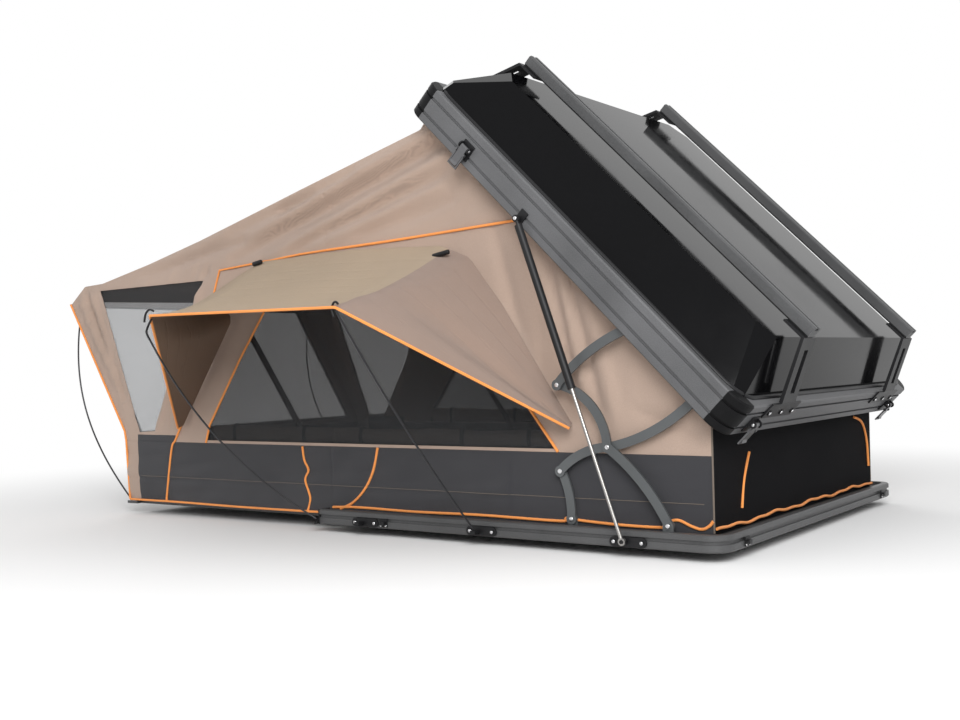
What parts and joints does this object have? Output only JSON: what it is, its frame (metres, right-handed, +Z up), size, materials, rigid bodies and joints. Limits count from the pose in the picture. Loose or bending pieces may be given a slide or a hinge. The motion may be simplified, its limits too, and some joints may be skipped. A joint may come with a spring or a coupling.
{
  "type": "roof top tent",
  "caption": "Hard-shell roof top tent: lid on scissor arms and gas struts, fold-out floor panel, canvas cabin with window awning, load bars and mounting channels.",
  "frame": {"origin": "middle of the four rack bolt slots, on the underside of the mounting channels", "axes": "+X towards the end where the lid stays low, +Y to the side without the awning, +Z up"},
  "size_m": [2.8021, 1.8638, 1.4103],
  "materials": {
    "alloy": "satin anodised",
    "dark_alloy": "satin dark grey",
    "black": "satin black",
    "gloss_black": "gloss black",
    "steel": "bright steel",
    "canvas_tan": "coated canvas",
    "khaki": "coated canvas",
    "charcoal": "coated canvas",
    "netting": "fine netting",
    "foam": "knitted cover",
    "board": "matt"
  },
  "bodies": {
    "base": {"mount_channels": "dark_alloy", "floor_board": "board", "base_side_rails": "alloy", "base_rail_end": "alloy", "base_corners": "dark_alloy", "rail_caps": "black", "strut_plates": "black", "rod_plates": "black", "latch_catches": "black", "arm_feet": "dark_alloy", "base_hinge_cheeks": "dark_alloy", "base_mattress": "foam", "canvas_base": "canvas_tan", "band_base": "charcoal", "mesh_base": "netting", "flap_roll_base": "charcoal", "awning": "khaki", "awning_rods": "steel"},
    "panel": {"panel_board": "board", "panel_edge": "alloy", "panel_hinge_cheeks": "dark_alloy", "panel_mattress": "foam", "canvas_fold": "canvas_tan", "band_fold": "charcoal", "mesh_fold": "netting", "flap_roll_fold": "charcoal", "eave_rods": "steel"},
    "bow": {"bow": "black"},
    "lid": {"lid_rail_near": "alloy", "lid_rail_far": "alloy", "lid_rail_hinge_end": "alloy", "lid_rail_fold_end": "alloy", "lid_corners": "dark_alloy", "lid_skin": "gloss_black", "headliner": "foam", "load_bars": "black", "bar_brackets": "black", "strut_studs": "black", "lid_arm_bosses": "dark_alloy", "latch_plates": "black"},
    "long_arm_near": {"long_arm_near": "dark_alloy"},
    "long_arm_far": {"long_arm_far": "dark_alloy"},
    "cross_arm_near": {"cross_arm_near": "dark_alloy"},
    "cross_arm_far": {"cross_arm_far": "dark_alloy"},
    "short_link_near": {"short_link_near": "dark_alloy"},
    "short_link_far": {"short_link_far": "dark_alloy"},
    "top_link_near": {"top_link_near": "dark_alloy"},
    "top_link_far": {"top_link_far": "dark_alloy"},
    "strut_rod_near": {"strut_rod_near": "steel"},
    "strut_rod_far": {"strut_rod_far": "steel"},
    "strut_cylinder_near": {"strut_cylinder_near": "black"},
    "strut_cylinder_far": {"strut_cylinder_far": "black"},
    "latch_lever_end_near": {"latch_lever_end_near": "steel"},
    "latch_lever_end_far": {"latch_lever_end_far": "steel"},
    "latch_lever_side_near": {"latch_lever_side_near": "steel"},
    "latch_lever_side_far": {"latch_lever_side_far": "steel"},
    "latch_loop_end_near": {"latch_loop_end_near": "steel"},
    "latch_loop_end_far": {"latch_loop_end_far": "steel"},
    "latch_loop_side_near": {"latch_loop_side_near": "steel"},
    "latch_loop_side_far": {"latch_loop_side_far": "steel"}
  },
  "joints": [
    {"name": "lid_hinge", "type": "hinge", "parent": "base", "child": "lid", "pos_m": [0.96, 0, 0.204], "axis": [0, 1, 0], "range_deg": [-45, 0], "deforming": ["canvas_base", "band_base", "mesh_base", "flap_roll_base", "awning", "canvas_fold", "band_fold", "mesh_fold", "flap_roll_fold"]},
    {"name": "panel_fold", "type": "hinge", "parent": "base", "child": "panel", "pos_m": [-0.63, 0, 0.117], "axis": [0, -1, 0], "range_deg": [-180, 0], "deforming": ["canvas_base", "band_base", "mesh_base", "flap_roll_base", "awning", "canvas_fold", "band_fold", "mesh_fold", "flap_roll_fold", "eave_rods"]},
    {"name": "bow_fold", "type": "hinge", "parent": "panel", "child": "bow", "pos_m": [-0.712, 0, 0.117], "axis": [0, -1, 0], "range_deg": [0, 54.6]},
    {"name": "long_arm_near_pivot", "type": "hinge", "parent": "base", "child": "long_arm_near", "pos_m": [0.504, 0, 0.082], "axis": [0, 1, 0], "range_deg": [-46.79, 0]},
    {"name": "cross_arm_near_pivot", "type": "hinge", "parent": "long_arm_near", "child": "cross_arm_near", "pos_m": [0.33, 0, 0.28], "axis": [0, 1, 0], "range_deg": [0, 71.89]},
    {"name": "short_link_near_pivot", "type": "hinge", "parent": "base", "child": "short_link_near", "pos_m": [0.206, 0, 0.082], "axis": [0, 1, 0], "range_deg": [-73.15, 0]},
    {"name": "top_link_near_pivot", "type": "hinge", "parent": "lid", "child": "top_link_near", "pos_m": [0.42599, 0, 0.59701], "axis": [0, 1, 0], "range_deg": [0, 76.08]},
    {"name": "strut_near_swing", "type": "hinge", "parent": "base", "child": "strut_rod_near", "pos_m": [0.398, 0, 0.043], "axis": [0, 1, 0], "range_deg": [-66.09, 0]},
    {"name": "strut_near_stroke", "type": "slide", "parent": "strut_rod_near", "child": "strut_cylinder_near", "axis": [-0.3297, 0, 0.9441], "range_m": [-0.36686, 0]},
    {"name": "latch_end_near_lever", "type": "hinge", "parent": "lid", "child": "latch_lever_end_near", "pos_m": [0.70473, -0.568, 0.33764], "axis": [0, -1, 0], "range_deg": [0, 110]},
    {"name": "latch_end_near_loop", "type": "hinge", "parent": "latch_lever_end_near", "child": "latch_loop_end_near", "pos_m": [0.69483, -0.568, 0.32209], "axis": [0, -1, 0], "range_deg": [0, 50]},
    {"name": "latch_side_near_lever", "type": "hinge", "parent": "lid", "child": "latch_lever_side_near", "pos_m": [-0.07167, -0.713, 1.11405], "axis": [-0.7071, 0, 0.7071], "range_deg": [0, 110]},
    {"name": "latch_side_near_loop", "type": "hinge", "parent": "latch_lever_side_near", "child": "latch_loop_side_near", "pos_m": [-0.0844, -0.717, 1.10132], "axis": [-0.7071, 0, 0.7071], "range_deg": [0, 50]},
    {"name": "long_arm_far_pivot", "type": "hinge", "parent": "base", "child": "long_arm_far", "pos_m": [0.504, 0, 0.082], "axis": [0, 1, 0], "range_deg": [-46.79, 0]},
    {"name": "cross_arm_far_pivot", "type": "hinge", "parent": "long_arm_far", "child": "cross_arm_far", "pos_m": [0.33, 0, 0.28], "axis": [0, 1, 0], "range_deg": [0, 71.89]},
    {"name": "short_link_far_pivot", "type": "hinge", "parent": "base", "child": "short_link_far", "pos_m": [0.206, 0, 0.082], "axis": [0, 1, 0], "range_deg": [-73.15, 0]},
    {"name": "top_link_far_pivot", "type": "hinge", "parent": "lid", "child": "top_link_far", "pos_m": [0.42599, 0, 0.59701], "axis": [0, 1, 0], "range_deg": [0, 76.08]},
    {"name": "strut_far_swing", "type": "hinge", "parent": "base", "child": "strut_rod_far", "pos_m": [0.398, 0, 0.043], "axis": [0, 1, 0], "range_deg": [-66.09, 0]},
    {"name": "strut_far_stroke", "type": "slide", "parent": "strut_rod_far", "child": "strut_cylinder_far", "axis": [-0.3297, 0, 0.9441], "range_m": [-0.36686, 0]},
    {"name": "latch_end_far_lever", "type": "hinge", "parent": "lid", "child": "latch_lever_end_far", "pos_m": [0.70473, 0.568, 0.33764], "axis": [0, -1, 0], "range_deg": [0, 110]},
    {"name": "latch_end_far_loop", "type": "hinge", "parent": "latch_lever_end_far", "child": "latch_loop_end_far", "pos_m": [0.69483, 0.568, 0.32209], "axis": [0, -1, 0], "range_deg": [0, 50]},
    {"name": "latch_side_far_lever", "type": "hinge", "parent": "lid", "child": "latch_lever_side_far", "pos_m": [-0.07167, 0.713, 1.11405], "axis": [0.7071, 0, -0.7071], "range_deg": [0, 110]},
    {"name": "latch_side_far_loop", "type": "hinge", "parent": "latch_lever_side_far", "child": "latch_loop_side_far", "pos_m": [-0.0844, 0.717, 1.10132], "axis": [0.7071, 0, -0.7071], "range_deg": [0, 50]}
  ],
  "couplings": [
    {"joint": "bow_fold", "follows": "panel_fold", "ratio": -0.30333},
    {"joint": "long_arm_near_pivot", "follows": "lid_hinge", "ratio": 1.0395},
    {"joint": "cross_arm_near_pivot", "follows": "lid_hinge", "ratio": -1.5973},
    {"joint": "short_link_near_pivot", "follows": "lid_hinge", "ratio": 1.6253},
    {"joint": "top_link_near_pivot", "follows": "lid_hinge", "ratio": -1.6904},
    {"joint": "strut_near_swing", "follows": "lid_hinge", "ratio": 1.4684},
    {"joint": "strut_near_stroke", "follows": "lid_hinge", "m_per_rad": 0.46697},
    {"joint": "long_arm_far_pivot", "follows": "lid_hinge", "ratio": 1.0395},
    {"joint": "cross_arm_far_pivot", "follows": "lid_hinge", "ratio": -1.5973},
    {"joint": "short_link_far_pivot", "follows": "lid_hinge", "ratio": 1.6253},
    {"joint": "top_link_far_pivot", "follows": "lid_hinge", "ratio": -1.6904},
    {"joint": "strut_far_swing", "follows": "lid_hinge", "ratio": 1.4684},
    {"joint": "strut_far_stroke", "follows": "lid_hinge", "m_per_rad": 0.46697}
  ]
}
